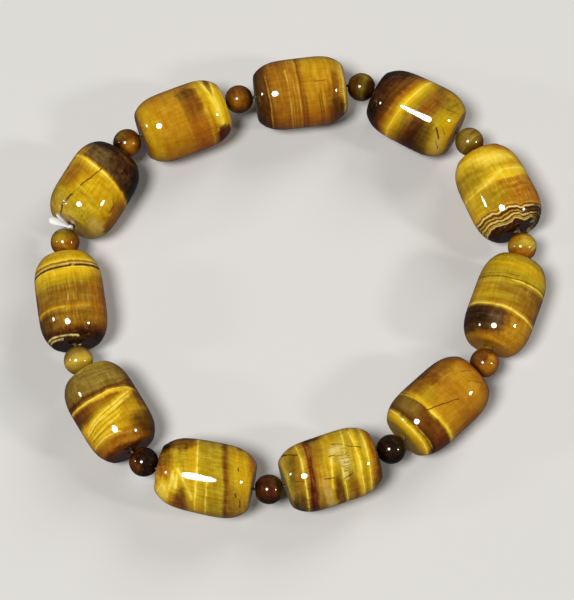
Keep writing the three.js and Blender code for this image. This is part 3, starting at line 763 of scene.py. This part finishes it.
# elastic cord: the same route as the solid, thinner where it is stretched through the beads; sizes in mm
cordSet = {
    "radius": 0.24, "spacerOut": 0.6, "cordOut": 0.3, "knotGap": 0.8, "knotAfter": 9,
    "stretchedPaintedShade": ("#625a4c", 0.3), "slack": ("#f4f2ec", 0.55),  # tint and roughness; the stretched loop's dark tint is painted shade of the gaps between the beads
    "stepRows": 8, "columns": 16, "ribRows": 8,
    "knot": {"turns": 1.5, "radius": 0.36, "strand": 0.22, "length": 0.24, "rows": 60},
    # reach: out of the loop, along it and up; sizes: radii from the knot to the tip, before it is rounded
    "tails": {
        "longTail": {"reach": (3.9, 0.7, 0.4), "sizes": [0.16, 0.3, 0.5, 0.72, 0.78, 0.6], "flat": 0.75},
        "shortTail": {"reach": (2.3, 0.75, 3.1), "sizes": [0.16, 0.22, 0.28, 0.32, 0.3, 0.2], "flat": 0.9},
    },
    "tailRows": 48, "tipShare": 0.16, "tipLeast": 0.02,
}


def elasticCord(name, tint, roughness):
    # Elastic cord: many spun strands drawn into one; slack it is chalk white and ribbed. The stretched loop
    # is thinner, and its dark grey-brown tint is painted shade of the narrow gaps between the beads
    material, add = newMaterial(name)
    uv = add("UVMap", {}, uv_map="around")
    ribs = add("TexWave", {"Vector": uv, "Scale": 2.0, "Distortion": 1.0}, "Fac",
               wave_type="BANDS", bands_direction="X")
    bump = add("Bump", {"Strength": 0.3, "Distance": 0.04 * mm, "Height": ribs})
    shader = add("BsdfPrincipled", {"Base Color": linear(tint), "Roughness": roughness,
                                    "Specular IOR Level": 0.4, "Normal": bump})
    add("OutputMaterial", {"Surface": shader})
    return material


def tube(path, radii, flat, closed, columns):
    # a round section carried along the path: side is level and across the path, lift stands on both;
    # flat is the share of the radius that is left along lift
    ahead = np.roll(path, -1, 0) - np.roll(path, 1, 0) if closed else np.gradient(path, axis=0)
    ahead = ahead / np.linalg.norm(ahead, axis=1, keepdims=True)
    side = np.cross(ahead, up)
    side = side / np.linalg.norm(side, axis=1, keepdims=True)
    lift = np.cross(side, ahead)
    angle = np.linspace(0, 2 * math.pi, columns, endpoint=False)[None, :, None]
    section = np.cos(angle) * side[:, None] + flat * np.sin(angle) * lift[:, None]
    return path[:, None] + np.reshape(radii, (-1, 1, 1)) * section


def through(knots, steps):
    # smooth ring through the points: each stretch is a cubic whose slope at a point is half the step between
    # the points beside it
    start, end = knots, np.roll(knots, -1, 0)
    slope = (end - np.roll(knots, 1, 0)) / 2
    s = np.linspace(0, 1, steps, endpoint=False)[None, :, None]
    passed = 3 * s ** 2 - 2 * s ** 3
    way = (1 - passed) * start[:, None] + passed * end[:, None]
    leaving, arriving = s ** 3 - 2 * s ** 2 + s, s ** 3 - s ** 2
    way = way + leaving * slope[:, None] + arriving * np.roll(slope, -1, 0)[:, None]
    return way.reshape(-1, 3)


def cordRoute(spec):
    # through each barrel toward the outer side of its mouths, then the middle of its spacer;
    # the knot lies in the wider gap after one spacer
    route = []
    for number, (node, bead) in enumerate(barrelBeads.items(), 1):
        along, out, middle = headed(bead["heading"]), headed(bead["heading"] + 90), middleOf(node)
        for share in (-1, -0.5, 0.5, 1):
            route.append(middle + along * share * bead["length"] / 2 + out * spec["cordOut"] * share ** 4)
        spacer = "spacer_bead_%02d" % number
        route.append(middleOf(spacer))
        if number == spec["knotAfter"]:
            line, side = headed(spacerBeads[spacer]["heading"]), headed(spacerBeads[spacer]["heading"] + 90)
            gapMiddle = (spacerShape["length"] + spec["knotGap"]) / 2
            knotMiddle = middleOf(spacer) - side * spec["spacerOut"] / 2 + line * gapMiddle
            route.append(knotMiddle)
    return np.array(route), knotMiddle, line, side


def makeCord(spec):
    route, knotMiddle, line, side = cordRoute(spec)
    path = through(route, spec["stepRows"])
    surfaces = {"loop": tube(path, spec["radius"], 1.0, True, spec["columns"])}
    # the knot: turns round the line of the cord while it moves along it
    knot = spec["knot"]
    share = np.linspace(0, 1, knot["rows"])[:, None]
    turn = 2 * math.pi * knot["turns"] * share
    coil = knotMiddle + knot["radius"] * (np.cos(turn) * side + np.sin(turn) * up)
    coil = coil + line * (share - 0.5) * knot["length"]
    surfaces["knot"] = tube(coil, knot["strand"], 1.0, False, spec["columns"])
    # a tail: straight from the knot, its radius rounding off like a circle over the last share
    share = np.linspace(0, 1, spec["tailRows"])
    tipped = np.clip((share - 1 + spec["tipShare"]) / spec["tipShare"], 0, 1)
    tip = np.sqrt(np.clip(1 - tipped ** 2, spec["tipLeast"], 1))
    for name, tail in spec["tails"].items():
        reach = tail["reach"] @ np.stack([side, line, up])
        sizes = np.interp(share, np.linspace(0, 1, len(tail["sizes"])), tail["sizes"])
        path = knotMiddle + share[:, None] * reach
        surfaces[name] = tube(path, sizes * tip, tail["flat"], False, spec["columns"])
    stretchedPaintedShade = elasticCord("stretchedCordPaintedShade", *spec["stretchedPaintedShade"])
    slack = elasticCord("slackElasticCord", *spec["slack"])
    for name, points in surfaces.items():
        isLoop = name == "loop"
        # the loop takes the dark tint: painted shade where it shows in the gaps
        material = stretchedPaintedShade if isLoop else slack
        putGrid("elastic_cord_" + name, points, material, spec["ribRows"], isLoop)
    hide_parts("elastic_cord")


makeCord(cordSet)
print("cord made")

# floor and light in m; the lamps stand where their reflections in the photographed beads put them
studio = {
    "floor": {"tint": "#cbc9c5", "half": 3.0}, "world": 0.06,
    "lamps": {
        "key": {"place": (-0.50, -0.47, 1.57), "size": 0.55, "power": 24.5},
        "right": {"place": (0.98, -0.27, 0.63), "size": 0.15, "power": 3.4},
        "left": {"place": (-0.76, -0.05, 0.32), "size": 0.1, "power": 0.75},
        # light thrown back by the room, with no shape in the polish
        "fill": {"place": (0.75, 0.95, 0.90), "size": 0.8, "power": 9.5, "mirrored": False},
    },
}


def makeFloor(spec):
    # matt painted board: a soft even diffuse white
    material, add = newMaterial("mattPaintedBoard")
    shader = add("BsdfPrincipled", {"Base Color": linear(spec["tint"]), "Roughness": 0.9,
                                    "Specular IOR Level": 0.2})
    add("OutputMaterial", {"Surface": shader})
    mesh = bpy.data.meshes.new("floor")
    half, lowest = spec["half"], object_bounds()[0][2]
    corners = [(x * half, y * half, lowest) for x, y in ((-1, -1), (1, -1), (1, 1), (-1, 1))]
    mesh.from_pydata(corners, [], [(0, 1, 2, 3)])
    mesh.materials.append(material)
    floor = bpy.data.objects.new("floor", mesh)
    scene.collection.objects.link(floor)
    floor.visible_glossy = False  # the polish mirrors a dim room, not the pale floor
    floor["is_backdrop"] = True


def makeLight(spec):
    world = bpy.data.worlds.new("studio")
    world.use_nodes = True
    background = world.node_tree.nodes["Background"]
    background.inputs["Color"].default_value = (1, 1, 1, 1)
    background.inputs["Strength"].default_value = spec["world"]
    scene.world = world
    for name, lamp in spec["lamps"].items():
        data = bpy.data.lights.new(name, "AREA")
        data.shape, data.size, data.energy = "DISK", lamp["size"], lamp["power"]
        light = bpy.data.objects.new(name, data)
        light.location = lamp["place"]
        light.visible_glossy = lamp.get("mirrored", True)
        across, away, height = lamp["place"]  # each lamp faces the middle of the loop
        light.rotation_euler = (math.atan2(math.hypot(across, away), height), 0, math.atan2(across, -away))
        scene.collection.objects.link(light)


makeFloor(studio["floor"])
makeLight(studio)
print("studio lit")
